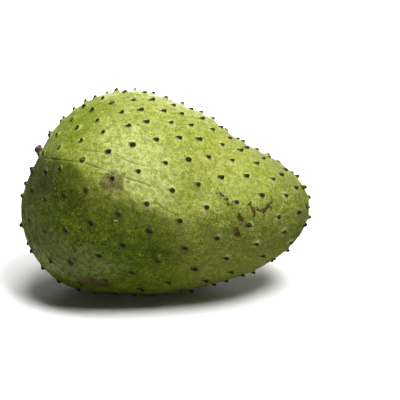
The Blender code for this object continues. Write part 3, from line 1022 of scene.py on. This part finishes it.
def skin_material():
    m = Material("soursop_skin")
    mottle, close, grain = m.noise(7, 4, 0.6), m.noise(3.2, 3, 0.6), m.noise(1.1, 3, 0.7)
    wobble = m.swing(m.noise(1.5, 2), 1.6)
    # 1 on the bright front skin, 0 on the deeper green below the front fold, which is partly painted shade.
    # The colours that follow take a bright copy and a painted-shade copy by it.
    lit_pale_share = m.step(m.mark("deep_green_and_shade"), 0.5, 0.1)
    skin = broad_skin(m, mottle, close)
    skin, stipple = grained_skin(m, skin, lit_pale_share, close, grain)
    skin, streak = lined_skin(m, skin, close)
    skin, spines = spined_skin(m, skin, lit_pale_share, wobble)
    skin, scar, patch, scab = marked_skin(m, skin, spines, wobble, grain)
    m.give("Base Color", skin)

    gloss = m.step(m.noise(3, 3), 0.3, 0.7, 0.4, 0.58)
    dull = m.most(spines, scar, patch)
    m.give("Roughness", m.plus(gloss, m.times(dull, 0.25)))
    m.give("Specular IOR Level", 0.1)
    height = m.plus(
        m.times(stipple, 0.4), m.times(grain, 1.4), m.times(close, 1.6), m.times(streak, 1.2),
        m.times(scar, grain, 4), m.times(scab, 1.5),
    )
    m.give("Normal", m.bump(height, 0.14))
    return m.material


def stem_material():
    m = Material("soursop_stem")
    bark = m.mix(m.step(m.noise(2.2, 3), 0.35, 0.65), colour("bark_dark"), colour("bark_light"))
    bark = m.mix(m.step(m.noise(1.2, 2, 0.7), 0.55, 0.7), bark, colour("bark_stain"))
    bark = m.mix(m.step(m.noise(3.0, 2), 0.55, 0.7), bark, colour("bark_fleck"))
    m.give("Base Color", bark)
    m.give("Roughness", m.step(m.noise(1.5, 2), 0.3, 0.7, 0.6, 0.85))
    m.give("Normal", m.bump(m.noise(0.9, 4, 0.7), 0.35))
    return m.material


def sheet_material(name, shade, glows):
    """A matt grey. A sheet that glows does so only at a distance, and stays white beyond the lights."""
    m = Material(name)
    m.give("Base Color", (shade, shade, shade, 1))
    m.give("Roughness", 1)
    m.give("Specular IOR Level", 0)
    if glows:
        away = m.node("VectorMath", {0: m.place}, operation="LENGTH").outputs["Value"]
        m.give("Emission Color", (1, 1, 1, 1))
        m.give("Emission Strength", m.step(away, *GLOW_REACH))
    return m.material


def make_sheet(name, reach, height, shade, glows=False):
    """A flat square of the studio, which isn't part of the object."""
    mesh = bpy.data.meshes.new(name)
    corners = [(x * reach, y * reach, height) for x, y in ((-1, -1), (1, -1), (1, 1), (-1, 1))]
    mesh.from_pydata(corners, [], [(0, 1, 2, 3)])
    mesh.materials.append(sheet_material(name, shade, glows))
    sheet = bpy.data.objects.new(name, mesh)
    bpy.context.scene.collection.objects.link(sheet)
    sheet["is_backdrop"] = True
    return sheet


def make_floor():
    """A white table for the camera, over a grey card that throws less light back up at the fruit."""
    table = make_sheet("white_table", TABLE_REACH, 0, TABLE_SHADE, glows=True)
    table.visible_diffuse = table.visible_glossy = table.visible_shadow = False
    card = make_sheet("bounce_card", CARD_REACH, -CARD_GAP, CARD_SHADE)
    card.visible_camera = card.visible_glossy = False


def make_lights():
    """Round softboxes about the fruit."""
    for name, height, turn, power in LIGHTS:
        lamp = bpy.data.lights.new(name, "AREA")
        lamp.shape = "DISK"
        lamp.size = LIGHT_SIZE
        lamp.energy = power
        height, turn = radians(height), radians(turn)
        away = Vector((sin(turn) * cos(height), -cos(turn) * cos(height), sin(height)))
        light = bpy.data.objects.new(name, lamp)
        light.location = Vector(LIGHT_TARGET) + LIGHT_DISTANCE * away
        light.rotation_euler = (-away).to_track_quat("-Z", "Y").to_euler()
        bpy.context.scene.collection.objects.link(light)


def make_world():
    """White surroundings above and dark ones below, which light no matt surface."""
    world = bpy.data.worlds.new("studio")
    bpy.context.scene.world = world
    world.cycles_visibility.diffuse = False
    world.use_nodes = True
    tree = world.node_tree
    place = tree.nodes.new("ShaderNodeTexCoord").outputs["Generated"]
    height = tree.nodes.new("ShaderNodeSeparateXYZ")
    tree.links.new(place, height.inputs[0])
    share = tree.nodes.new("ShaderNodeMapRange")
    tree.links.new(height.outputs["Z"], share.inputs["Value"])
    share.inputs["From Min"].default_value = -HORIZON
    share.inputs["From Max"].default_value = HORIZON
    share.inputs["To Min"].default_value = SKY_LOW
    share.inputs["To Max"].default_value = SKY_HIGH
    background = tree.nodes["Background"]
    tree.links.new(share.outputs[0], background.inputs["Color"])


def make_camera():
    """The photograph's camera: level with X, and looking down a little from the front."""
    camera = bpy.data.objects.new("camera", bpy.data.cameras.new("camera"))
    away = np.array([0, -cos(CAMERA_HEIGHT), sin(CAMERA_HEIGHT)])
    camera.location = np.array(CAMERA_AIM) + CAMERA_DISTANCE * away
    camera.rotation_euler = (pi / 2 - CAMERA_HEIGHT, 0, 0)
    camera.data.sensor_width = SENSOR
    camera.data.lens = SENSOR * CAMERA_DISTANCE / VIEW_WIDTH
    camera.data.clip_end = CAMERA_REACH
    bpy.context.scene.collection.objects.link(camera)
    bpy.context.scene.camera = camera


def main():
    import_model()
    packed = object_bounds()
    bpy.context.scene.view_settings.view_transform = "Standard"
    fruit, stem_foot, stem_axis = make_fruit()
    fruit.data.materials.append(skin_material())
    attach(fruit, "root")
    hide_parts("fruit")
    stem = make_stem(stem_foot, stem_axis)
    stem.data.materials.append(stem_material())
    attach(stem, "root")
    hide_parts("stem")
    make_floor()
    make_lights()
    make_world()
    make_camera()
    sizes = {"cad": packed, "visual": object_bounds()}
    sizes = {name: [[float(value) for value in corner] for corner in box] for name, box in sizes.items()}


main()
